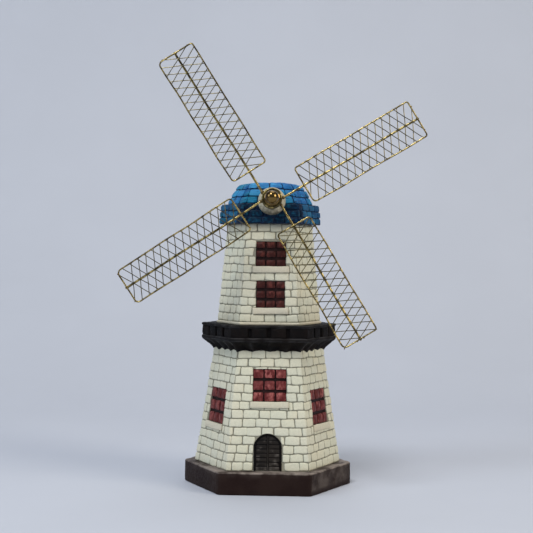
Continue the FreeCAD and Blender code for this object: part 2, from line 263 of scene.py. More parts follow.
class Shape:
    """Vertices and faces of one piece, with a wash and a tint value on each vertex; the wash is mostly dirt and
    wear, on the cap skirt and boss also painted shade, on the plinth also painted light.
    """

    def __init__(self):
        self.points, self.faces, self.wash, self.tint = [], [], [], []

    def add(self, points, faces, wash=0.0, tint=0.5):
        start = len(self.points)
        self.points.extend(points)
        self.faces.extend(tuple(start + i for i in face) for face in faces)
        self.wash.extend(wash if isinstance(wash, list) else [wash] * len(points))
        self.tint.extend([tint] * len(points))

    def piece(self, name, body, slot, material, replaces=(), sharp=40):
        mesh = bpy.data.meshes.new(name)
        mesh.from_pydata([p * MM for p in self.points], [], self.faces)
        for label, values in (("wash", self.wash), ("tint", self.tint)):
            mesh.attributes.new(label, "FLOAT", "POINT").data.foreach_set("value", values)
        mesh.materials.append(material)
        mesh.shade_smooth()
        mesh.set_sharp_from_angle(angle=math.radians(sharp))
        mesh.update()
        piece = bpy.data.objects.new(name, mesh)
        bpy.context.scene.collection.objects.link(piece)
        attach(piece, body)
        if replaces:
            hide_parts(*replaces)
        return piece


def grid_faces(columns, rows):
    return [(j * columns + i, j * columns + i + 1, (j + 1) * columns + i + 1, (j + 1) * columns + i)
            for j in range(rows - 1) for i in range(columns - 1)]


def ring_faces(a, b, count):
    """Faces between two closed rings of vertices, whose first vertices are a and b."""
    return [(a + s, a + (s + 1) % count, b + (s + 1) % count, b + s) for s in range(count)]


def ticks(low, high, edge, cell, breaks=()):
    """Grid lines from low to high: close together at both ends, about a cell apart between."""
    size = high - low
    edge = min(edge, size / 6)
    inner_low, inner_high = low + 2.4 * edge, high - 2.4 * edge
    count = max(1, round((inner_high - inner_low) / cell))
    inner = [inner_low + (inner_high - inner_low) * k / count for k in range(count + 1)]
    for b in breaks:
        near = cell * 0.3
        if inner_low + near < b < inner_high - near:
            inner = [v for v in inner if abs(v - b) > near] + [b - near * 0.6, b, b + near * 0.6]
    return [low, low + 0.4 * edge, low + edge] + sorted(inner) + [high - edge, high - 0.4 * edge, high]


def jitter(point, scale, amount):
    return noise.noise_vector(point / scale) * amount


def relief_tile(shape, place, x0, x1, y0, y1, rise, rng, edge=0.38, cell=2.0, corner=0.95,
                rough=0.06, breaks=()):
    """One raised brick or tile: rounded outline, rounded edges, slightly uneven top."""
    xs = ticks(x0, x1, edge, cell, breaks)
    ys = ticks(y0, y1, edge, cell)
    corner = min(corner, (x1 - x0) / 3, (y1 - y0) / 3)
    seed = Vector((rng.uniform(0, 99), rng.uniform(0, 99), rng.uniform(0, 99)))
    tilt_x, tilt_y = rng.uniform(-0.1, 0.1), rng.uniform(-0.08, 0.08)
    rise *= rng.uniform(0.8, 1.15)
    tint = rng.random()
    top, under, wash = [], [], []
    for j, y in enumerate(ys):
        for i, x in enumerate(xs):
            from_side = min(i, len(xs) - 1 - i, 3)
            from_course = min(j, len(ys) - 1 - j, 3)
            dx, dy = min(x - x0, x1 - x), min(y - y0, y1 - y)
            px, py = x, y
            if dx < corner and dy < corner:
                reach = math.hypot(corner - dx, corner - dy)
                pull = max(corner - dx, corner - dy) / reach if reach else 1.0
                px += (corner - dx) * (1 - pull) * (1 if x < (x0 + x1) / 2 else -1)
                py += (corner - dy) * (1 - pull) * (1 if y < (y0 + y1) / 2 else -1)
            shift = noise.noise_vector(Vector((px, py, 0)) * 0.45 + seed) * 0.16
            bump = noise.noise(Vector((px, py, 3)) * 0.55 + seed) * rough * 1.6
            bump += noise.noise(Vector((px, py, 9)) * 1.7 + seed) * rough
            lean = tilt_x * (px - x0) / (x1 - x0) + tilt_y * (py - y0) / (y1 - y0)
            height = rise * min(COURSE_RISE[from_course], UPRIGHT_RISE[from_side])
            if min(from_side, from_course) > 1:
                height += bump + lean * rise
            top.append(place(px + shift.x, py + shift.y, height))
            under.append(place(px + shift.x, py + shift.y, TILE_BACK))
            wash.append(max(COURSE_DIRT[from_course], UPRIGHT_DIRT[from_side]))
    columns, rows = len(xs), len(ys)
    faces = grid_faces(columns, rows)
    count = columns * rows
    border = ([(0, i) for i in range(columns)]
              + [(j, columns - 1) for j in range(1, rows)]
              + [(rows - 1, i) for i in range(columns - 2, -1, -1)]
              + [(j, 0) for j in range(rows - 2, 0, -1)])
    ids = [j * columns + i for j, i in border]
    faces += [tuple(count + k for k in reversed(face)) for face in faces]
    faces += [(b, a, count + a, count + b) for a, b in zip(ids, ids[1:] + ids[:1])]
    shape.add(top + under, faces, wash + [1.0] * count, tint)


def rounded_box(shape, place, size, radius, cell, tint=0.5, wobble=0.0, seed=0.0):
    """Closed box with rounded edges, centred on its own origin."""
    lines = []
    for length in size:
        half = length / 2
        r = min(radius, half * 0.95)
        count = max(1, round((length - 2 * r) / cell))
        inner = [-half + r + (length - 2 * r) * k / count for k in range(count + 1)]
        lines.append([-half, -half + 0.35 * r] + inner + [half - 0.35 * r, half])
    index, points, faces = {}, [], []
    halves = [length / 2 for length in size]

    def vertex(key):
        if key not in index:
            p = Vector([lines[a][key[a]] for a in range(3)])
            core = Vector([max(-halves[a] + min(radius, halves[a] * 0.95),
                               min(halves[a] - min(radius, halves[a] * 0.95), p[a])) for a in range(3)])
            out = p - core
            if out.length > 1e-9:
                p = core + out.normalized() * min(max(abs(c) for c in out), out.length)
            index[key] = len(points)
            spot = Vector(place(*p))
            points.append(spot + jitter(spot + Vector((seed, seed, seed)), 2.6, wobble))
        return index[key]

    last = [len(line) - 1 for line in lines]
    for axis in range(3):
        u, v = [a for a in range(3) if a != axis]
        for side in (0, last[axis]):
            for i in range(last[u]):
                for j in range(last[v]):
                    quad = []
                    for di, dj in ((0, 0), (1, 0), (1, 1), (0, 1)):
                        key = [0, 0, 0]
                        key[axis], key[u], key[v] = side, i + di, j + dj
                        quad.append(vertex(tuple(key)))
                    flip = (side == 0) != (axis == 1)
                    faces.append(tuple(reversed(quad)) if flip else tuple(quad))
    shape.add(points, faces, 0.0, tint)


def tube(shape, path, radius, sides=10, closed=False, wobble=0.0, seed=0.0):
    """Round wire along a path, with rounded ends unless it is closed."""
    rings, faces, points = [], [], []
    normal = None
    stations = [(p, 1.0) for p in path]
    if not closed:
        first = (path[0] - path[1]).normalized()
        last = (path[-1] - path[-2]).normalized()
        stations = ([(path[0] + first * radius, 0.25), (path[0] + first * radius * 0.7, 0.75)] + stations
                    + [(path[-1] + last * radius * 0.7, 0.75), (path[-1] + last * radius, 0.25)])
    total = len(stations)
    for k, (p, scale) in enumerate(stations):
        before = stations[(k - 1) % total][0] if closed or k else p
        after = stations[(k + 1) % total][0] if closed or k < total - 1 else p
        along = (after - before).normalized()
        if normal is None:
            normal = along.orthogonal().normalized()
        normal = (normal - along * normal.dot(along)).normalized()
        side = along.cross(normal)
        swell = 1.0 + wobble * noise.noise(p * 0.35 + Vector((seed, 0, 0)))
        rings.append(len(points))
        for s in range(sides):
            a = math.tau * s / sides
            points.append(p + (normal * math.cos(a) + side * math.sin(a)) * radius * scale * swell)
    spans = list(zip(rings, rings[1:]))
    if closed:
        spans.append((rings[-1], rings[0]))
    for a, b in spans:
        faces += ring_faces(a, b, sides)
    if not closed:
        faces.append(tuple(range(sides - 1, -1, -1)))
        faces.append(tuple(rings[-1] + s for s in range(sides)))
    shape.add(points, faces)


def lathe(shape, profile, wobble=0.0, seed=0.0):
    """Turn a (radius, height) profile round the windshaft's axis; ends on the axis are closed."""
    segments = 64
    points, faces, rings = [], [], []
    for radius, height in profile:
        if radius < 1e-6:
            rings.append((len(points), 1))
            points.append(SHAFT_AT + FORWARD * height)
            continue
        rings.append((len(points), segments))
        for s in range(segments):
            a = math.tau * s / segments
            spot = SHAFT_AT + (ACROSS * math.cos(a) + UPWARD * math.sin(a)) * radius + FORWARD * height
            points.append(spot + jitter(spot + Vector((seed, 0, 0)), 3.0, wobble))
    for (a, na), (b, nb) in zip(rings, rings[1:]):
        if na == 1:
            faces += [(a, b + (s + 1) % segments, b + s) for s in range(segments)]
        elif nb == 1:
            faces += [(a + s, a + (s + 1) % segments, b) for s in range(segments)]
        else:
            faces += ring_faces(a, b, segments)
    if rings[0][1] > 1 and rings[-1][1] > 1:
        faces += ring_faces(rings[-1][0], rings[0][0], segments)
    shape.add(points, faces)


def arc(centre, radius, start, end, steps):
    """Points of a (radius, height) profile round an arc, in degrees."""
    return [(centre[0] + radius * math.cos(math.radians(start + (end - start) * k / steps)),
             centre[1] + radius * math.sin(math.radians(start + (end - start) * k / steps)))
            for k in range(steps + 1)]


# ---------------------------------------------------------------- hexagonal walls

class Wall:
    """A hexagonal wall. Arc length runs round it, v up its slope and h out of it."""

    def __init__(self, angles, levels):
        self.directions = [Vector((math.cos(a), math.sin(a))) for a in angles]
        sides = [self.directions[(i + 1) % 6] - self.directions[i] for i in range(6)]
        self.chords = [side.length for side in sides]
        self.normals = [Vector((side.y, -side.x)).normalized() for side in sides]
        self.mitres = [(before + after) / (1 + before.dot(after))
                       for before, after in zip(self.normals[-1:] + self.normals, self.normals)]
        self.levels = levels
        self.heights = [0.0]
        for (r0, z0), (r1, z1) in zip(levels, levels[1:]):
            self.heights.append(self.heights[-1] + math.hypot((r1 - r0) * FACE_SHARE, z1 - z0))

    def segment(self, v):
        k = 0
        while k < len(self.levels) - 2 and v > self.heights[k + 1]:
            k += 1
        return k, (v - self.heights[k]) / (self.heights[k + 1] - self.heights[k])

    def radius(self, v):
        k, part = self.segment(v)
        return self.levels[k][0] + (self.levels[k + 1][0] - self.levels[k][0]) * part

    def v_at(self, z):
        for k in range(len(self.levels) - 1):
            z0, z1 = self.levels[k][1], self.levels[k + 1][1]
            if z <= z1 or k == len(self.levels) - 2:
                return self.heights[k] + (self.heights[k + 1] - self.heights[k]) * (z - z0) / (z1 - z0)

    def at(self, u, v, h=0.0):
        """Point at u faces round from the first corner, v up and h outward."""
        k, part = self.segment(v)
        (r0, z0), (r1, z1) = self.levels[k], self.levels[k + 1]
        length = self.heights[k + 1] - self.heights[k]
        out, lift = (z1 - z0) / length, (r0 - r1) * FACE_SHARE / length
        radius, z = r0 + (r1 - r0) * part, z0 + (z1 - z0) * part
        i, t = int(math.floor(u)) % 6, u - math.floor(u)
        a = self.directions[i] * radius + self.mitres[i] * h * out
        b = self.directions[(i + 1) % 6] * radius + self.mitres[(i + 1) % 6] * h * out
        spot = a.lerp(b, t)
        return Vector((spot.x, spot.y, z + h * lift))

    def toward(self, u):
        """Point of a hexagon with a corner radius of 1, at u faces round."""
        i = int(u) % 6
        return self.directions[i].lerp(self.directions[(i + 1) % 6], u - int(u))

    def u_of(self, s, v):
        """Arc length at a height, turned into faces round."""
        radius = self.radius(v)
        turns, rest = divmod(s, sum(self.chords) * radius)
        for i, chord in enumerate(self.chords):
            if rest <= chord * radius or i == 5:
                return 6 * turns + i + rest / (chord * radius)
            rest -= chord * radius

    def corner_lengths(self, v):
        """Arc length of each corner at a height, and of the whole way round."""
        radius = self.radius(v)
        return [sum(self.chords[:i]) * radius for i in range(7)]


class Hole:
    """An opening on a face: a rectangle, or a round-headed arch, in millimetres across and up."""

    def __init__(self, wall, face, x0, x1, v0, v1, arch=False):
        self.wall, self.face, self.arch = wall, face, arch
        self.x0, self.x1, self.v0, self.v1 = x0, x1, v0, v1

    def half_width(self, v):
        """Half of an arch's width at a height; nothing above its crown."""
        half = (self.x1 - self.x0) / 2
        rise = v - (self.v1 - half)
        if rise <= 0:
            return half
        return math.sqrt(max(half * half - rise * rise, 0.0))

    def push(self, s, v, v_mid):
        """Move a point out of the opening."""
        start = self.wall.corner_lengths(v_mid)[self.face]
        width = self.wall.chords[self.face] * self.wall.radius(v_mid)
        x = s - start - width / 2
        if self.arch:
            half = (self.x1 - self.x0) / 2
            cx, spring = (self.x0 + self.x1) / 2, self.v1 - half
            if v > spring:
                away = Vector((x - cx, v - spring))
                if 0 < away.length < half:
                    away = away.normalized() * half
                    x, v = cx + away.x, spring + away.y
                return start + width / 2 + x, v
        if self.x0 < x < self.x1 and self.v0 < v < self.v1:
            gaps = [(x - self.x0, "x0"), (self.x1 - x, "x1")]
            x = getattr(self, min(gaps)[1])
        return start + width / 2 + x, v

    def cut(self, tile, v_mid):
        """Split (s0, s1, v0, v1) into what is left beside, above and below the opening."""
        s0, s1, v0, v1 = tile
        start = self.wall.corner_lengths(v_mid)[self.face]
        centre = start + self.wall.chords[self.face] * self.wall.radius(v_mid) / 2
        a, b = centre + self.x0, centre + self.x1
        low, high = self.v0, self.v1
        if self.arch:
            reach = self.half_width((v0 + v1) / 2)
            if v0 >= high or reach < 1.0:
                return [tile]
            a, b = centre + (self.x0 + self.x1) / 2 - reach, centre + (self.x0 + self.x1) / 2 + reach
            low, high = -1.0, v1 + 1
        if s1 <= a or s0 >= b or v1 <= low or v0 >= high:
            return [tile]
        left = (s0, min(s1, a), v0, v1)
        right = (max(s0, b), s1, v0, v1)
        above = (max(s0, a), min(s1, b), max(v0, high), v1)
        below = (max(s0, a), min(s1, b), v0, min(v1, low))
        return [t for t in (left, right, above, below) if t[1] - t[0] > 1.5 and t[3] - t[2] > 1.3]


def lay_courses(shape, wall, v0, v1, brick, rng, rise, holes=(), wave=0.55, **look):
    """Running bond round a wall from v0 up to v1."""
    width, height = brick
    courses = max(1, round((v1 - v0) / height))
    pitch = (v1 - v0) / courses
    for k in range(courses):
        low, high = v0 + k * pitch, v0 + (k + 1) * pitch
        v_mid = (low + high) / 2
        corners = wall.corner_lengths(v_mid)
        around = corners[6]
        count = max(6, round(around / width))
        step = around / count
        cuts = [(j + 0.5 * (k % 2) + rng.uniform(-0.13, 0.13)) * step for j in range(count)]
        cuts = [min((c for c in corners if abs(c - s) < 1.3), default=s) for s in cuts]
        for j in range(count):
            s0, s1 = cuts[j], cuts[j + 1] if j + 1 < count else cuts[0] + around
            tiles = [(s0, s1, low, high)]
            for hole in holes:
                tiles = [piece for tile in tiles for piece in hole.cut(tile, v_mid)]
            for tile in tiles:
                lay_tile(shape, wall, tile, (low, high), rng, rise, holes, wave, corners, look)


def lay_tile(shape, wall, tile, course, rng, rise, holes, wave, corners, look):
    """One tile of a course, its edges slanted and its course joints wavy."""
    s0, s1, v0, v1 = tile
    around = corners[6]
    v_mid = (course[0] + course[1]) / 2
    slant_low, slant_high = rng.uniform(-0.35, 0.35), rng.uniform(-0.35, 0.35)
    slant_low = slant_low if s1 - s0 > 4 else 0.0

    def place(s, v, h):
        turn = math.tau * s / around
        ripple = 0.0
        for line, nominal in ((v0, course[0]), (v1, course[1])):
            near = 1 - min(1.0, abs(v - line) / max(v1 - v0, 0.1))
            if abs(line - nominal) < 1e-6:
                spot = Vector((math.cos(turn), math.sin(turn), 0.0))
                ripple += near * wave * noise.noise(spot * 3.1 + Vector((0, 0, nominal * 1.7)))
                ripple += near * wave * 0.7 * noise.noise(spot * 11.0 + Vector((5, 0, nominal * 2.3)))
        s += slant_low * (1 - (v - v0) / (v1 - v0)) + slant_high * (v - v0) / (v1 - v0)
        v += ripple
        for hole in holes:
            s, v = hole.push(s, v, v_mid)
        return wall.at(wall.u_of(s % around, v_mid), v, h)

    gap, level = UPRIGHT_JOINT / 2, COURSE_JOINT / 2
    breaks = [c + turn for c in corners[:6] for turn in (0.0, around)]
    relief_tile(shape, place, s0 + gap, s1 - gap, v0 + level, v1 - level, rise, rng, breaks=breaks, **look)


def hex_sweep(shape, angles, outline, cell=4.0, soften=0.8, wobble=0.0, seed=0.0, washes=None):
    """Closed (corner radius, height) outline swept round a hexagon with softened corners."""
    widest = max(radius for radius, z in outline)
    wall = Wall(angles, [(widest, 0.0), (widest, 1.0)])
    stations = []
    for i in range(6):
        side = wall.chords[i] * widest
        soft = soften / side
        inner = max(2, round(side * (1 - 2 * soft) / cell))
        stations += [(i, True)] + [(i + soft + (1 - 2 * soft) * k / inner, False) for k in range(inner + 1)]
    points, wash = [], []
    for u, is_corner in stations:
        for n, (radius, z) in enumerate(outline):
            spot = wall.toward(u) * radius
            if is_corner:
                spot *= 1 - 0.25 * soften / widest
            p = Vector((spot.x, spot.y, z))
            points.append(p + jitter(p + Vector((seed, 0, 0)), 5.0, wobble))
            wash.append(washes[n] if washes else 0.0)
    ring, total = len(outline), len(stations)
    faces = []
    for a in range(total):
        b = (a + 1) % total
        faces += [(a * ring + n, b * ring + n, b * ring + (n + 1) % ring, a * ring + (n + 1) % ring)
                  for n in range(ring)]
    shape.add(points, faces, wash)


# ---------------------------------------------------------------- materials

class Nodes:
    """Small helper that builds one principled material."""

    def __init__(self, name):
        self.material = bpy.data.materials.new(name)
        self.material.use_nodes = True
        self.tree = self.material.node_tree
        self.shader = self.tree.nodes["Principled BSDF"]
        self.coords = self.add("ShaderNodeTexCoord").outputs["Object"]

    def add(self, kind, **settings):
        node = self.tree.nodes.new(kind)
        for key, value in settings.items():
            setattr(node, key, value)
        return node

    def feed(self, socket, value):
        if hasattr(value, "links"):
            self.tree.links.new(value, socket)
        else:
            socket.default_value = value

    def noise(self, scale, detail=4.0, rough=0.55, stretch=None):
        node = self.add("ShaderNodeTexNoise")
        vector = self.coords
        if stretch:
            mapping = self.add("ShaderNodeMapping")
            mapping.inputs["Scale"].default_value = stretch
            self.tree.links.new(self.coords, mapping.inputs["Vector"])
            vector = mapping.outputs["Vector"]
        self.tree.links.new(vector, node.inputs["Vector"])
        node.inputs["Scale"].default_value = scale
        node.inputs["Detail"].default_value = detail
        node.inputs["Roughness"].default_value = rough
        return node.outputs["Fac"]

    def attribute(self, name):
        return self.add("ShaderNodeAttribute", attribute_name=name).outputs["Fac"]

    def ramp(self, value, low, high, out_low=0.0, out_high=1.0):
        node = self.add("ShaderNodeMapRange", interpolation_type="SMOOTHSTEP")
        self.feed(node.inputs["Value"], value)
        for key, number in (("From Min", low), ("From Max", high), ("To Min", out_low), ("To Max", out_high)):
            node.inputs[key].default_value = number
        return node.outputs["Result"]

    def math(self, operation, a, b):
        node = self.add("ShaderNodeMath", operation=operation)
        self.feed(node.inputs[0], a)
        self.feed(node.inputs[1], b)
        return node.outputs[0]

    def mix(self, factor, a, b):
        node = self.add("ShaderNodeMix", data_type="RGBA")
        self.feed(node.inputs[0], factor)
        for socket, value in ((node.inputs[6], a), (node.inputs[7], b)):
            self.feed(socket, value if hasattr(value, "links") else (*value, 1.0))
        return node.outputs[2]

    def bump(self, height, strength, distance):
        node = self.add("ShaderNodeBump")
        self.feed(node.inputs["Height"], height)
        node.inputs["Strength"].default_value = strength
        node.inputs["Distance"].default_value = distance
        self.tree.links.new(node.outputs["Normal"], self.shader.inputs["Normal"])

    def done(self, color, roughness, metallic=0.0, specular=0.5):
        self.feed(self.shader.inputs["Base Color"], color)
        self.feed(self.shader.inputs["Roughness"], roughness)
        self.shader.inputs["Metallic"].default_value = metallic
        self.shader.inputs["Specular IOR Level"].default_value = specular
        return self.material


def painted_cast(name, base, warm, cool, wash, rough=(0.5, 0.75), wash_strength=0.85, grain=0.5,
                 specular=0.3):
    """Matt paint on cast resin: mottled, each brick its own shade, dark wash in the joints; on the boss the
    wash is painted shade on its lower half.
    """
    n = Nodes(name)
    patches = n.ramp(n.noise(55.0, 3.0), 0.38, 0.62)
    color = n.mix(patches, base, warm)
    color = n.mix(n.ramp(n.attribute("tint"), 0.1, 0.9, 0.0, 0.35), color, cool)
    speckle = n.noise(900.0, 5.0, 0.6)
    color = n.mix(n.ramp(speckle, 0.30, 0.72, 0.0, 0.3), color, tuple(c * 0.66 for c in base))
    ragged = n.math("ADD", n.attribute("wash"), n.ramp(n.noise(420.0, 3.0), 0.2, 0.8, -0.28, 0.28))
    color = n.mix(n.ramp(ragged, 0.35, 1.1, 0.0, wash_strength), color, wash)
    n.bump(n.math("ADD", speckle, n.noise(260.0, 3.0)), grain, 0.00025)
    return n.done(color, n.ramp(speckle, 0.2, 0.8, *rough), specular=specular)


def brushed_tile(name, base, light, teal, wash):
    """Blue glaze brushed on in streaks over navy, darkest in the grooves."""
    n = Nodes(name)
    streaks = n.noise(330.0, 4.0, 0.6, stretch=(0.45, 0.45, 1.8))
    color = n.mix(n.ramp(n.noise(38.0, 2.0), 0.42, 0.60), base, teal)
    # The tint value sets how much paler blue a tile gets: random per tile, and on the cap also painted light
    # and shade by side
    color = n.mix(n.ramp(n.attribute("tint"), 0.05, 0.95, 0.0, 0.55), color, light)
    color = n.mix(n.ramp(streaks, 0.50, 0.72, 0.0, 0.75), color, light)
    color = n.mix(n.ramp(streaks, 0.46, 0.28, 0.0, 0.8), color, wash)
    ragged = n.math("ADD", n.attribute("wash"), n.ramp(n.noise(500.0, 3.0), 0.2, 0.8, -0.3, 0.3))
    # The wash darkens the grooves, and on the skirt's front tiles it is painted shade
    color = n.mix(n.ramp(ragged, 0.30, 1.0, 0.0, 0.96), color, wash)
    n.bump(streaks, 0.55, 0.0003)
    return n.done(color, n.ramp(streaks, 0.2, 0.8, 0.34, 0.55), specular=0.14)


def worn_paint(name, base, shade, worn, wear_scale=160.0, wear=0.5, rough=(0.45, 0.7), specular=0.2):
    """Dark paint that is rubbed paler on its raised edges (a high wash value) and in patches; on the plinth the
    same paler colour is also painted light on its right side and top face.
    """
    n = Nodes(name)
    color = n.mix(n.ramp(n.noise(70.0, 4.0), 0.35, 0.65), base, shade)
    fine = n.noise(700.0, 5.0, 0.65)
    rubbed = n.math("MULTIPLY", n.attribute("wash"), n.ramp(n.noise(wear_scale, 4.0), 0.32, 0.62, 0.3, 1.0))
    rubbed = n.math("ADD", rubbed, n.ramp(fine, 0.58, 0.80, 0.0, wear))
    color = n.mix(n.ramp(rubbed, 0.05, 1.0, 0.0, 0.9), color, worn)
    n.bump(n.math("ADD", fine, n.noise(180.0, 3.0)), 0.5, 0.0003)
    return n.done(color, n.ramp(fine, 0.2, 0.8, *rough), specular=specular)


def brushed_panes(name):
    """Crimson panes with paler red dragged over their crowns; dull on the upper stage (tint 0)."""
    n = Nodes(name)
    strokes = n.noise(520.0, 4.0, 0.6, stretch=(1.0, 1.0, 0.5))
    deep = n.mix(n.attribute("tint"), (0.034, 0.0060, 0.0048), (0.095, 0.012, 0.013))
    lit = n.mix(n.attribute("tint"), (0.145, 0.032, 0.025), (0.42, 0.130, 0.118))
    brushed = n.math("MULTIPLY", n.attribute("wash"), n.ramp(strokes, 0.38, 0.66, 0.0, 1.0))
    brushed = n.math("MULTIPLY", brushed, n.ramp(n.noise(150.0, 2.0), 0.40, 0.62, 0.25, 1.0))
    n.bump(strokes, 0.5, 0.0003)
    return n.done(n.mix(brushed, deep, lit), n.ramp(strokes, 0.2, 0.8, 0.4, 0.6), specular=0.2)


def brass(name, base, dark, roughness, dull):
    """Lacquered brass with duller patches; a high wash value is fully dull."""
    n = Nodes(name)
    n.shader.inputs["Coat Weight"].default_value = 0.2
    n.shader.inputs["Coat Roughness"].default_value = 0.1
    fine = n.noise(650.0, 4.0, 0.6)
    color = n.mix(n.ramp(n.noise(210.0, 3.0), 0.42, 0.60, 0.0, dull), base, dark)
    color = n.mix(n.attribute("wash"), color, dark)
    n.bump(fine, 0.12, 0.0001)
    return n.done(color, n.ramp(fine, 0.25, 0.75, roughness, roughness + 0.14), metallic=1.0)


def make_materials():
    """Materials by name; cast paint: base, warmer and cooler patches, then the wash in its joints."""
    return {
        "brick": painted_cast(
            "cream_brick", (0.635, 0.630, 0.50), (0.665, 0.635, 0.495), (0.59, 0.61, 0.53),
            (0.19, 0.185, 0.145), grain=0.55),
        "mortar": painted_cast(
            "cream_mortar", (0.24, 0.235, 0.185), (0.28, 0.265, 0.205), (0.23, 0.235, 0.19),
            (0.13, 0.125, 0.10), wash_strength=0.5),
        "sill": painted_cast(
            "cream_sill", (0.59, 0.555, 0.44), (0.62, 0.565, 0.44), (0.55, 0.54, 0.46),
            (0.20, 0.185, 0.14), wash_strength=0.7),
        # The boss's wash colour is painted shade on its lower half
        "ivory": painted_cast(
            "ivory_boss", (0.60, 0.56, 0.42), (0.56, 0.50, 0.36), (0.62, 0.60, 0.49),
            (0.055, 0.050, 0.032), rough=(0.3, 0.5), grain=0.2, specular=0.3),
        "groove": painted_cast(
            "blue_groove", (0.003, 0.014, 0.055), (0.003, 0.018, 0.06), (0.004, 0.024, 0.075),
            (0.002, 0.007, 0.03), rough=(0.45, 0.65), specular=0.2),
        "roof_tile": brushed_tile(
            "blue_tile", (0.007, 0.105, 0.32), (0.060, 0.34, 0.64), (0.006, 0.18, 0.31), (0.002, 0.009, 0.05)),
        # The navy tile's wash colour serves the grooves and the painted shade on the skirt's front tiles
        "skirt_tile": brushed_tile(
            "navy_tile", (0.003, 0.040, 0.125), (0.022, 0.17, 0.33), (0.003, 0.080, 0.135),
            (0.001, 0.005, 0.022)),
        "pane": brushed_panes("red_pane"),
        "grid": worn_paint(
            "maroon_grid", (0.010, 0.0025, 0.0025), (0.018, 0.004, 0.004), (0.06, 0.016, 0.016), wear=0.15),
        "black": worn_paint(
            "black_gallery", (0.0030, 0.0030, 0.0036), (0.0070, 0.0045, 0.0040), (0.042, 0.041, 0.043),
            wear=0.08, rough=(0.5, 0.75), specular=0.08),
        "door": worn_paint(
            "charcoal_door", (0.0105, 0.0085, 0.0078), (0.021, 0.017, 0.0145), (0.13, 0.115, 0.104),
            wear=0.55, rough=(0.5, 0.75), specular=0.14),
        # The plinth's paler colour serves rubbed wear and the painted light on its right side and top face
        "plinth": worn_paint(
            "brown_plinth", (0.0135, 0.0058, 0.0048), (0.019, 0.0098, 0.0078), (0.25, 0.212, 0.188),
            wear_scale=90.0, wear=0.035, rough=(0.45, 0.68), specular=0.12),
        "wire": brass("brass_wire", (0.42, 0.325, 0.12), (0.034, 0.025, 0.009), 0.20, 0.85),
        "fine_wire": brass("brass_mesh_wire", (0.125, 0.103, 0.042), (0.028, 0.020, 0.008), 0.26, 0.65),
        "polished": brass("brass_polished", (0.190, 0.120, 0.036), (0.045, 0.022, 0.008), 0.11, 0.5),
        "solder": brass("brass_solder", (0.20, 0.15, 0.065), (0.07, 0.045, 0.018), 0.30, 0.6),
    }


# ---------------------------------------------------------------- tower

def face_hole(wall, node, grow=-0.22, arch=False):
    """Opening in the bricks that clears a flat node on a face of the wall."""
    flat = Face(node)
    outward = flat.z.xy.normalized()
    fits = [side.dot(outward) for side in wall.normals]
    face = fits.index(max(fits))
    points = [flat.place(sx * flat.width / 2, sy * flat.height / 2, 0) for sx in (-1, 1) for sy in (-1, 1)]
    v = [wall.v_at(p.z) for p in points]
    a, b = wall.directions[face], wall.directions[(face + 1) % 6]
    across = (b - a).normalized()
    x = [p.xy.dot(across) - 0.5 * wall.radius(wall.v_at(p.z)) * (a + b).dot(across) for p in points]
    return Hole(wall, face, min(x) - grow, max(x) + grow, min(v) - grow, max(v) + grow, arch)


def tower_bricks(storey, start, brick, seed, materials):
    """Bricks of one storey, from a height up its wall, round its windows and door."""
    node = storey + "_tower"
    wall = Wall(corner_angles(node), outline_of(node))
    holes = [face_hole(wall, name + part) for name in PANE_TINTS if name.startswith(storey)
             for part in ("_window_grid", "_sill")]
    if storey == "lower":
        holes.append(face_hole(wall, "door", grow=0.5, arch=True))
    shape = Shape()
    lay_courses(shape, wall, start, wall.heights[-1], brick, random.Random(seed), BRICK_RISE, holes)
    shape.piece(storey + "_bricks", TOWER, "cream_paint", materials["brick"])
    repaint(node, materials["mortar"])
    if storey == "upper":
        foot_band(wall, materials)


def foot_band(wall, materials):
    """Plain raised strip round the foot of the upper stage."""
    radius, z = wall.levels[0]
    outline = [(radius - 0.6, z + 0.02), (radius + 0.75, z + 0.02), (radius + 1.05, z + 0.5),
               (radius + 1.0, z + 1.2), (radius + 0.6, z + 1.6), (radius - 0.6, z + 1.75)]
    shape = Shape()
    hex_sweep(shape, corner_angles("upper_tower"), outline, cell=2.0, soften=0.6, wobble=0.18, seed=3.0,
              washes=[0.8, 0.3, 0.0, 0.0, 0.1, 0.9])
    shape.piece("upper_foot_band", TOWER, "cream_paint", materials["sill"])


def window(name, rng, materials):
    """Raised red panes, brushed brighter on the lower stage, over a dark backing, with a ledge."""
    flat = Face(name + "_window_grid")
    panes = Shape()
    for part in loose_parts(name + "_window_panes"):
        local = [flat.local(p) for p in part]
        low, high = min_max(local, min), min_max(local, max)
        size, centre = high - low, (low + high) / 2
        swell = rng.uniform(-0.12, 0.12)

        def place(x, y, z, centre=centre, size=size, swell=swell):
            crown = PANE_CROWN * max(0.0, (1 - (2 * x / size.x) ** 2) * (1 - (2 * y / size.y) ** 2))
            return flat.place(centre.x + x, centre.y + y, centre.z + z + (crown + swell if z > 0 else 0.0))

        start = len(panes.points)
        rounded_box(panes, place, (size.x + 0.35, size.y + 0.5, size.z), 0.8, 0.9, tint=PANE_TINTS[name],
                    wobble=0.22, seed=rng.uniform(0, 50))
        brushed = rng.uniform(0.45, 1.0)
        for k in range(start, len(panes.points)):
            depth = flat.local(panes.points[k]).z
            panes.wash[k] = max(0.0, min(1.0, 1.4 + depth / 0.5)) * brushed if depth > -0.7 else 0.0
    panes.piece(name + "_panes", TOWER, "red_paint", materials["pane"], [name + "_window_panes"])
    repaint(name + "_window_grid", materials["grid"])
    ledge = Face(name + "_sill")
    sill = Shape()

    def ledge_place(x, y, z):
        return ledge.place(x, y + 0.3 * noise.noise(Vector((x * 0.16, 1.0, ledge.at.z))), z - ledge.depth / 2)

    rounded_box(sill, ledge_place, (ledge.width, ledge.height, ledge.depth), 0.55, 1.4, wobble=0.14,
                seed=rng.uniform(0, 50))
    sill.piece(name + "_ledge", TOWER, "cream_paint", materials["sill"], [name + "_sill"])


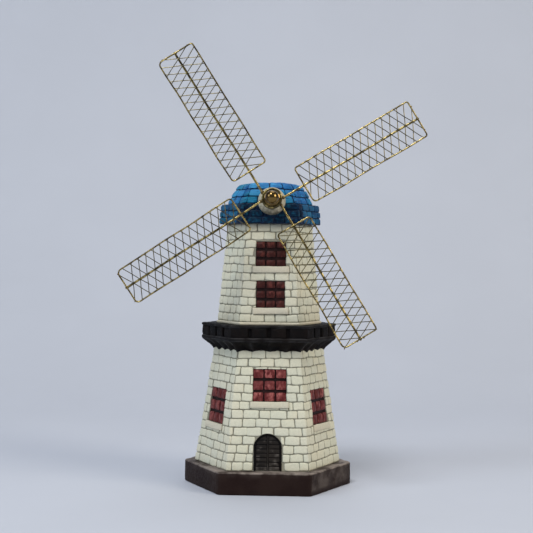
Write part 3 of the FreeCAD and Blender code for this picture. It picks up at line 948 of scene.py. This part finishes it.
def door(rng, materials):
    """Arched door: boards across, a rib down the middle and a rounded border."""
    flat = Face("door")
    half, foot = flat.width / 2, -flat.height / 2
    spring = flat.height / 2 - half
    reach = half - DOOR_BORDER

    def place(x, y, z):
        if y <= spring:
            x = max(-reach, min(reach, x))
        else:
            away = Vector((x, y - spring))
            if away.length > reach:
                away = away.normalized() * reach
            x, y = away.x, spring + away.y
        return flat.place(x, y, z - DOOR_SINK)

    leaf = Shape()
    pitch = (flat.height - DOOR_BORDER) / DOOR_BOARDS
    for k in range(DOOR_BOARDS):
        low, high = foot + k * pitch, foot + (k + 1) * pitch
        end = math.sqrt(max(reach ** 2 - max(low - spring, 0) ** 2, 0.5)) if high > spring else reach
        for side in (-1, 1):
            x0, x1 = sorted((side * DOOR_RIB / 2, side * end))
            relief_tile(leaf, place, x0 + 0.1, x1 - 0.05, low + 0.14, high - 0.14, 0.5, rng,
                        edge=0.22, cell=1.2, corner=0.3, rough=0.08)
    rib = [flat.place(0, foot + (flat.height - DOOR_BORDER) * k / 12, 0.0) for k in range(13)]
    tube(leaf, rib, 0.42, wobble=0.3)
    dusty = flat.place(0, foot + pitch, 0).z
    leaf.wash = [max(0.0, noise.noise(p * 0.35)) + (0.5 if p.z < dusty else 0.0) for p in leaf.points]
    leaf.piece("door_planks", TOWER, "charcoal_paint", materials["door"])
    surround = Shape()
    edge = half - DOOR_BORDER / 2 + 0.25
    rise = spring - foot - 0.3
    jamb = [flat.place(-edge, foot + 0.3 + (spring - foot) * k / 8, 0.05) for k in range(8)]
    head = [flat.place(-edge * math.cos(math.pi * k / 20), spring + edge * math.sin(math.pi * k / 20), 0.05)
            for k in range(21)]
    other = [flat.place(edge, spring - rise * k / 8, 0.05) for k in range(1, 9)]
    tube(surround, jamb + head + other, 0.55, wobble=0.25)
    surround.piece("door_border", TOWER, "black_paint", materials["black"])
    repaint("door", materials["black"])


# ---------------------------------------------------------------- gallery and plinth

def rounded_band(inner, outer, low, high, radius=0.5):
    """Outline of a band with rounded outer edges, as (corner radius, height)."""
    top = arc((outer - radius, high - radius), radius, 0, 90, 3)
    bottom = arc((outer - radius, low + radius), radius, -90, 0, 3)
    return [(inner, low)] + bottom + top + [(inner, high)]


def band_washes(outline):
    """Rubbed edges: the vertices of the rounded parts get a high wash value."""
    widest = max(r for r, z in outline)
    return [0.75 if widest - 0.6 < r < widest - 0.02 else (0.35 if r >= widest - 0.02 else 0.0)
            for r, z in outline]


def gallery(rng, materials):
    angles = corner_angles("gallery_core")
    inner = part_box("gallery_core")[1].x / MM - 0.3
    for node, radius, seed in (("gallery_bottom_rail", 0.95, 5.0), ("gallery_top_rail", 0.6, 9.0)):
        low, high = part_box(node)
        outline = rounded_band(inner, high.x / MM, low.z / MM, high.z / MM, radius)
        shape = Shape()
        hex_sweep(shape, angles, outline, cell=1.6, wobble=0.28, seed=seed, washes=band_washes(outline))
        shape.piece(node + "_cast", TOWER, "black_paint", materials["black"], [node])
    gallery_boards(angles, rng, materials)
    gallery_corbels(rng, materials)
    repaint("gallery_core", materials["black"])


def gallery_boards(angles, rng, materials):
    """Worn upright boards between the rails; the slots between them fall at even bays of each face."""
    low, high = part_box("gallery_boards")
    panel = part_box("gallery_core")[1].x / MM
    wall = Wall(angles, [(panel, low.z / MM), (panel, high.z / MM)])
    parts = loose_parts("gallery_boards")
    bays = len(parts) // 6 + 1
    board = min((min_max(part, max) - min_max(part, min)).xy.length for part in parts)
    corners = wall.corner_lengths(0.0)
    around = corners[6]
    slot = min(b - a for a, b in zip(corners, corners[1:])) / bays - board
    cuts = [a + (b - a) * k / bays for a, b in zip(corners, corners[1:]) for k in range(1, bays)]
    rise = (high.x / MM - panel) * math.cos(math.radians(30))
    breaks = [c + turn for c in corners[:6] for turn in (0.0, around)]
    boards = Shape()

    def place(s, v, h):
        return wall.at(wall.u_of(s % around, 0.5), v, h)

    for start, end in zip(cuts, cuts[1:] + [cuts[0] + around]):
        edges = [start + slot / 2 + rng.uniform(-0.25, 0.25), end - slot / 2 + rng.uniform(-0.25, 0.25)]
        relief_tile(boards, place, *edges, -0.5, wall.heights[-1] + 0.5, rise, rng,
                    edge=0.7, cell=1.3, corner=0.5, rough=0.14, breaks=breaks)
    boards.wash = [0.1 * (1.0 - w) for w in boards.wash]
    boards.piece("gallery_board_set", TOWER, "black_paint", materials["black"], ["gallery_boards"])


def gallery_corbels(rng, materials):
    """Pointed corbels: a faceted skirt under the gallery whose lower edge runs in points down the wall."""
    tower = Wall(corner_angles("lower_tower"), outline_of("lower_tower"))
    low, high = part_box("gallery_brackets")
    foot_z, top_z, edge = low.z / MM, high.z / MM, high.x / MM
    bays = len(loose_parts("gallery_brackets")) // 6
    across_steps, down_steps = CORBEL_STEPS
    columns, rows = 6 * bays * across_steps, down_steps + 1
    tips = [rng.uniform(-0.45, 0.35) for k in range(6 * bays)]
    sways = [rng.uniform(-0.12, 0.12) for k in range(6 * bays)]
    outer, inner, wash = [], [], []
    for row in range(rows):
        fall = row / down_steps
        for c in range(columns):
            u = 6 * c / columns
            bay = int(round(u * bays)) % (6 * bays)
            phase = 1 - min(1.0, 2 * abs(u * bays - round(u * bays) - sways[bay] * fall))
            bottom = foot_z + tips[bay] * phase + CORBEL_POINT * (1 - phase)
            z = top_z + (bottom - top_z) * fall
            wall_radius = tower.radius(tower.v_at(z))
            radius = edge + (tower.radius(tower.v_at(bottom)) + 0.5 - edge) * fall ** 0.9
            radius -= (1 - phase) * CORBEL_NOTCH * math.sin(math.pi * min(1.0, 0.75 * fall + 0.1))
            toward = tower.toward(u)
            spot = toward * max(radius, wall_radius + CORBEL_COVER)
            p = Vector((spot.x, spot.y, z))
            outer.append(p + jitter(p, 2.2, 0.25))
            spot = toward * (wall_radius - 1.0)
            inner.append(Vector((spot.x, spot.y, z)))
            wash.append(0.6 * phase ** 3)
    far = rows * columns
    faces = []
    for c in range(columns):
        d = (c + 1) % columns
        for row in range(down_steps):
            a, b = row * columns, (row + 1) * columns
            faces.append((a + d, a + c, b + c, b + d))
            faces.append((far + a + c, far + a + d, far + b + d, far + b + c))
        last = down_steps * columns
        faces.append((c, d, far + d, far + c))
        faces.append((last + d, last + c, far + last + c, far + last + d))
    shape = Shape()
    shape.add(outer + inner, faces, wash + [0.0] * far)
    shape.piece("gallery_corbel_skirt", TOWER, "black_paint", materials["black"], ["gallery_brackets"],
                sharp=35)


def plinth(materials):
    """Chamfered block with a rubbed top edge, a top face painted paler as wear and as painted light, and its
    right side painted paler as painted light.
    """
    radius = outline_of("plinth")[0][0] - 0.1
    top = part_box("plinth")[1].z / MM
    outline = ([(0.05, 0.0), (radius - 2.5, 0.0)] + arc((radius - 0.7, 0.7), 0.7, -90, 0, 3)
               + [(radius - 0.02, 4.0), (radius - 0.05, 8.0)]
               + arc((radius - 1.15, top - 1.1), 1.1, 0, 90, 5)
               + [(radius - 3.5, top), (radius - 5.5, top - 0.05), (0.05, top - 0.05)])
    # Wash values: the rounded top edge is rubbed paler towards its top; the top face gets a high value, partly
    # wear and partly painted light on the lit top
    washes = [max(0.0, min(1.0, 1.4 * (z - top + 1.3))) if r > radius - 2 else 0.8 * (z > 1)
              for r, z in outline]
    angles = corner_angles("plinth")
    shape = Shape()
    hex_sweep(shape, angles, outline, cell=2.2, soften=1.4, wobble=0.3, seed=2.0, washes=washes)
    for k, p in enumerate(shape.points):
        if p.z < 0.4:
            shape.points[k] = Vector((p.x, p.y, max(p.z, 0.0)))
    # Painted light: the right side is painted paler, as where light falls on it
    front_right = max((a for a in angles if math.sin(a) < -0.5), key=math.cos)
    side = radius * math.cos(front_right)
    for k, p in enumerate(shape.points):
        if p.x > side and 1.5 < p.z < top - 1.0:
            shape.wash[k] = PLINTH_PAINTED_LIGHT
    shape.piece("plinth_cast", TOWER, "brown_paint", materials["plinth"], ["plinth"])


# ---------------------------------------------------------------- cap

def shaft_hole(wall):
    """Opening in the front tiles, hidden under the boss, that clears the windshaft and its bush."""
    reach = on_axis("bearing_bush")[0] + 0.3
    face_y = wall.at(FRONT + 0.5, 0.0).y
    z = SHAFT_AT.z + FORWARD.z * (face_y - SHAFT_AT.y) / FORWARD.y
    return Hole(wall, FRONT, SHAFT_AT.x - reach, SHAFT_AT.x + reach,
                wall.v_at(z - reach), wall.v_at(z + reach))


def cap(materials):
    """Tiled skirt and roof; the roof is flatter and closed by a plain tile at its crown."""
    rng = random.Random(41)
    look = {"edge": 0.42, "cell": 1.6, "corner": 1.1, "rough": 0.13}
    skirt = Wall(corner_angles("cap_skirt"), outline_of("cap_skirt"))
    tiles = Shape()
    lay_courses(tiles, skirt, 0.0, skirt.heights[-1], SKIRT_TILE, rng, TILE_RISE, [shaft_hole(skirt)],
                0.5, **look)
    # Painted shade: the skirt tiles in front, under the boss and the sails, are washed dark and lose most of
    # their paler blue
    front = min(skirt.directions, key=lambda d: d.y).y * skirt.levels[0][0] * 0.8
    for k, p in enumerate(tiles.points):
        if p.y < front:
            tiles.wash[k] = max(tiles.wash[k], SKIRT_PAINTED_SHADE)
            tiles.tint[k] *= SKIRT_SHADE_DIMMING
    tiles.piece("skirt_tiles", TOWER, "blue_paint", materials["skirt_tile"])
    levels = outline_of("cap_roof")
    crown_radius, crown_z = levels[-1][0] * 0.42, levels[-1][1] - 0.2
    roof = Wall(corner_angles("cap_roof"), levels + [(crown_radius, crown_z)])
    tiles = Shape()
    slope = roof.heights[-3]
    lay_courses(tiles, roof, 0.0, slope, ROOF_TILE, rng, TILE_RISE, [shaft_hole(roof)], 0.5, **look)
    look["corner"] = 1.4
    lay_courses(tiles, roof, slope, roof.heights[-1], ROOF_TILE, rng, CROWN_TILE_RISE, wave=0.2, **look)
    crown = ([(0.05, crown_z)] + arc((crown_radius - 0.6, crown_z + 0.1), 0.4, -90, 90, 6)
             + [(0.05, crown_z + 0.5)])
    hex_sweep(tiles, corner_angles("cap_roof"), crown, cell=1.6, wobble=0.15, washes=[0.0, 1.0] + [0.3] * 7)
    # Painted light: roof tiles keep more of their paler blue on the left and less on the right, as if lit from
    # the left
    for k, p in enumerate(tiles.points):
        tiles.tint[k] *= max(0.3, min(1.0, 0.75 - p.x / 22))
    tiles.piece("roof_tiles", TOWER, "blue_paint", materials["roof_tile"])
    for node in ("cap_skirt", "cap_roof"):
        repaint(node, materials["groove"])


# ---------------------------------------------------------------- rotor

def on_axis(node):
    """(radius, back, front) of a round node on the windshaft's axis."""
    along, radius = [], 0.0
    for p in points_of(node):
        offset = p - SHAFT_AT
        forward = offset.dot(FORWARD)
        along.append(forward)
        radius = max(radius, (offset - FORWARD * forward).length)
    return radius, min(along), max(along)


def hub_parts(materials):
    """Turned brass parts on the shaft."""
    radius, back, front = on_axis("hub")
    shape = Shape()
    lathe(shape, [(1.2, back)] + arc((radius - 0.5, back + 0.5), 0.5, -90, 0, 4)
          + [(radius - 0.1, back + 1.0), (radius - 0.1, front - 1.0)]
          + arc((radius - 0.8, front - 0.8), 0.8, 0, 90, 5) + [(radius - 1.6, front - 0.1), (1.2, front - 0.1)])
    shape.piece("hub_disc", ROTOR, "brass", materials["wire"], ["hub"])

    seat, back, front = on_axis("ball_nut")
    centre = front - BALL_RADIUS
    low_angle = math.degrees(math.asin(max(-1.0, min(1.0, (back + 1.45 - centre) / BALL_RADIUS))))
    shape = Shape()
    lathe(shape, [(0.0, back - 0.3), (seat - 0.3, back - 0.3), (seat, back + 0.2), (seat - 0.15, back + 0.75),
                  (seat - 0.8, back + 1.15), (BALL_NECK, back + 1.3)]
          + arc((0.0, centre), BALL_RADIUS, low_angle, 90, 16)[:-1] + [(0.0, front)])
    shape.piece("ball_nut_turned", ROTOR, "brass", materials["polished"], ["ball_nut"])

    for node in ("hub_spacer", "front_washer"):
        radius, back, front = on_axis(node)
        edge = min(0.3, (front - back) / 3)
        shape = Shape()
        lathe(shape, [(1.9, back)] + arc((radius - edge, back + edge), edge, -90, 0, 3)
              + arc((radius - edge, front - edge), edge, 0, 90, 3) + [(1.9, front)])
        shape.piece(node + "_turned", ROTOR, "brass", materials["wire"], [node])
    for node in ("windshaft", "rear_washer", "rear_nut"):
        repaint(node, materials["wire"])
    repaint("bearing_bush", materials["solder"])


def boss(materials):
    """Ivory dome through the cap's front wall, cast slightly uneven, with painted shade on its lower half."""
    radius, back, front = on_axis("bearing_boss")
    bore = on_axis("bearing_bush")[0]
    profile = ([(bore + 0.02, back), (radius - 0.3, back), (radius, back + 0.3), (radius, front - BOSS_DOME)]
               + arc((radius - BOSS_DOME, front - BOSS_DOME), BOSS_DOME, 0, 90, 10)
               + [(bore + 0.5, front), (bore + 0.02, front - 0.3)])
    shape = Shape()
    lathe(shape, profile, wobble=0.12, seed=4.0)
    # Painted shade: the boss grows darker below the shaft, towards its wash colour
    shape.wash = [max(0.0, min(1.0, 0.15 + (SHAFT_AT - p).dot(UPWARD) / radius)) for p in shape.points]
    shape.piece("boss_dome", TOWER, "ivory_paint", materials["ivory"], ["bearing_boss"])


def wire_ends(points):
    """The two end centres and the radius of a straight wire, nearest the shaft first."""
    far = max(points, key=lambda p: (p - SHAFT_AT).length)
    near = max(points, key=lambda p: (p - far).length)
    along = (far - near).normalized()
    ends = [middle([p for p in points if (p - tip).length < 2.2 and abs((p - tip).dot(along)) < 0.4])
            for tip in (near, far)]
    radius = max((p - ends[1]).length for p in points if (p - ends[1]).length < 2.0)
    ends.sort(key=lambda p: (p - SHAFT_AT).length)
    return ends[0], ends[1], radius


def bent(a, b, steps, sway, rng, across):
    """Nearly straight path from a to b that sways a little, as hand-straightened wire does."""
    phase, second = rng.uniform(0, math.tau), rng.uniform(0, math.tau)
    path = []
    for k in range(steps + 1):
        t = k / steps
        hump = math.sin(math.pi * t)
        path.append(a.lerp(b, t) + across * sway * hump * math.sin(2.2 * t * math.pi + phase)
                    + FORWARD * sway * 0.6 * hump * math.sin(3.1 * t * math.pi + second))
    return path


def blob(shape, centre, along, side, size, rng):
    """Small uneven bead of solder."""
    sx, sy, sz = (size[k] * rng.uniform(0.8, 1.25) for k in range(3))
    rows, around = 6, 9
    points = [centre + FORWARD * sz]
    for j in range(1, rows):
        polar = math.pi * j / rows
        for i in range(around):
            a = math.tau * i / around
            p = (along * math.cos(a) * math.sin(polar) * sx + side * math.sin(a) * math.sin(polar) * sy
                 + FORWARD * math.cos(polar) * sz)
            points.append(centre + p * (1 + 0.15 * noise.noise((centre + p) * 1.3)))
    points.append(centre - FORWARD * sz)
    faces = [(0, 1 + i, 1 + (i + 1) % around) for i in range(around)]
    for j in range(rows - 2):
        a, b = 1 + j * around, 1 + (j + 1) * around
        faces += [(a + i, b + i, b + (i + 1) % around, a + (i + 1) % around) for i in range(around)]
    last, tip = 1 + (rows - 2) * around, len(points) - 1
    faces += [(tip, last + (i + 1) % around, last + i) for i in range(around)]
    shape.add(points, faces, 0.35)


def sail(name, seed, materials):
    """One sail: its rod, its bent frame, its crossing mesh wires and the solder between them."""
    rng = random.Random(seed)
    inner, outer, rod_radius = wire_ends(points_of(name + "_rod"))
    along = (outer - inner).normalized()
    side = FORWARD.cross(along)
    solder = Shape()

    rod = Shape()
    path = bent(inner, outer - along * 0.6, 36, ROD_SWAY, rng, side)
    tube(rod, path, rod_radius, sides=14, wobble=0.16, seed=seed)
    rod.piece(name + "_spar", ROTOR, "brass", materials["wire"], [name + "_rod"])
    blob(solder, inner + along * 2.5, along, side, ROD_BEAD, rng)

    local = [Vector(((p - SHAFT_AT).dot(along), (p - SHAFT_AT).dot(side), (p - SHAFT_AT).dot(FORWARD)))
             for p in points_of(name + "_frame")]
    low, high = min_max(local, min), min_max(local, max)
    gauge = (high.z - low.z) / 2
    z = (low.z + high.z) / 2
    x0, x1, y0, y1 = low.x + gauge, high.x - gauge - OUTER_SLACK, low.y + gauge, high.y - gauge

    def spot(x, y, z=z):
        drift = noise.noise_vector(Vector((x * 0.045, y * 0.06, seed))) * 0.55
        return SHAFT_AT + along * (x + drift.x * 0.3) + side * (y + drift.y) + FORWARD * (z + drift.z * 0.25)

    loop = []
    for bend, x, y, start in zip(FRAME_BENDS[name], (x1, x0, x0, x1), (y1, y1, y0, y0), (0, 90, 180, 270)):
        cx = x - bend if x == x1 else x + bend
        cy = y - bend if y == y1 else y + bend
        turn = arc((cx, cy), bend, start, start + 90, 6)
        if loop:
            loop += between(loop[-1], turn[0])
        loop += turn
    loop += between(loop[-1], loop[0])
    wire = Shape()
    tube(wire, [spot(x, y) for x, y in loop], gauge, sides=12, closed=True, wobble=0.12, seed=seed)
    wire.piece(name + "_border", ROTOR, "brass", materials["wire"], [name + "_frame"])
    for x in (x0, x1):
        blob(solder, spot(x, (inner - SHAFT_AT).dot(side), z / 2), along, side, FRAME_BEAD, rng)

    lattice = Shape()
    for part in loose_parts(name + "_mesh"):
        a, b, radius = wire_ends(part)
        ends = []
        for p in (a, b):
            q = p - SHAFT_AT
            ends.append(spot(q.dot(along) + rng.uniform(-0.25, 0.25), q.dot(side), q.dot(FORWARD)))
        steps = max(4, round((b - a).length / 2.5))
        direction = (ends[1] - ends[0]).normalized()
        across = FORWARD.cross(direction)
        tube(lattice, bent(ends[0], ends[1], steps, MESH_SWAY, rng, across), radius * MESH_SWELL,
             sides=8, wobble=0.15, seed=seed)
        for tip in ends:
            blob(solder, tip, direction, across, MESH_BEAD, rng)
    lattice.piece(name + "_lattice", ROTOR, "brass", materials["fine_wire"], [name + "_mesh"])
    solder.piece(name + "_solder", ROTOR, "brass", materials["solder"])


def between(a, b):
    """Points about 4 mm apart between two corners of the frame's outline, without the ends."""
    count = max(1, round(math.dist(a, b) / 4.0))
    return [(a[0] + (b[0] - a[0]) * k / count, a[1] + (b[1] - a[1]) * k / count) for k in range(1, count)]


# ---------------------------------------------------------------- stage

def backdrop():
    """Pale floor that sweeps up into a pale backdrop."""
    profile = [(FLOOR_FRONT, 0.0), (FLOOR_BACK, 0.0)]
    profile += [(FLOOR_BACK + SWEEP_RADIUS * math.sin(math.radians(a)),
                 SWEEP_RADIUS - SWEEP_RADIUS * math.cos(math.radians(a))) for a in range(6, 91, 6)]
    profile.append((FLOOR_BACK + SWEEP_RADIUS, BACKDROP_TOP))
    points = [(x, y, z) for y, z in profile for x in (-FLOOR_HALF, FLOOR_HALF)]
    faces = [(2 * k, 2 * k + 1, 2 * k + 3, 2 * k + 2) for k in range(len(profile) - 1)]
    mesh = bpy.data.meshes.new("floor")
    mesh.from_pydata(points, [], faces)
    n = Nodes("pale_floor")
    color = (0.48, 0.508, 0.575)
    shade = n.mix(n.ramp(n.noise(6.0, 3.0), 0.3, 0.7), color, tuple(c * 0.97 for c in color))
    mesh.materials.append(n.done(shade, 0.7, specular=0.2))
    mesh.shade_smooth()
    floor = bpy.data.objects.new("floor", mesh)
    bpy.context.scene.collection.objects.link(floor)


def lighting():
    world = bpy.data.worlds.new("studio")
    bpy.context.scene.world = world
    world.use_nodes = True
    background = world.node_tree.nodes["Background"]
    background.inputs["Color"].default_value = (0.84, 0.90, 1.0, 1.0)
    background.inputs["Strength"].default_value = 0.20
    for name, place, size, power, color in LIGHTS:
        data = bpy.data.lights.new(name, "AREA")
        data.shape = "RECTANGLE"
        data.size, data.size_y = size
        data.energy, data.color = power, color
        light = bpy.data.objects.new(name, data)
        light.location = place
        light.rotation_euler = (LIGHT_TARGET - Vector(place)).to_track_quat("-Z", "Y").to_euler()
        bpy.context.scene.collection.objects.link(light)


def camera():
    data = bpy.data.cameras.new("camera")
    data.sensor_width = CAMERA_SENSOR
    data.lens = CAMERA_LENS
    data.clip_start = 0.01
    view = bpy.data.objects.new("camera", data)
    turn = (Matrix.Rotation(math.radians(CAMERA_YAW), 4, "Z")
            @ Matrix.Rotation(math.radians(CAMERA_PITCH), 4, "X")
            @ Matrix.Rotation(math.radians(CAMERA_ROLL), 4, "Z"))
    view.matrix_world = Matrix.Translation(CAMERA_AT) @ turn
    bpy.context.scene.collection.objects.link(view)
    bpy.context.scene.camera = view


def main():
    bpy.context.scene.view_settings.view_transform = "Standard"
    camera()
    lighting()
    backdrop()
    materials = make_materials()
    plinth(materials)
    tower_bricks("lower", 0.0, LOWER_BRICK, 7, materials)
    tower_bricks("upper", 1.7, UPPER_BRICK, 8, materials)
    rng = random.Random(23)
    for name in PANE_TINTS:
        window(name, rng, materials)
    door(rng, materials)
    gallery(rng, materials)
    cap(materials)
    boss(materials)
    hub_parts(materials)
    for number, name in enumerate(SAILS):
        sail(name, 101 + number, materials)


main()
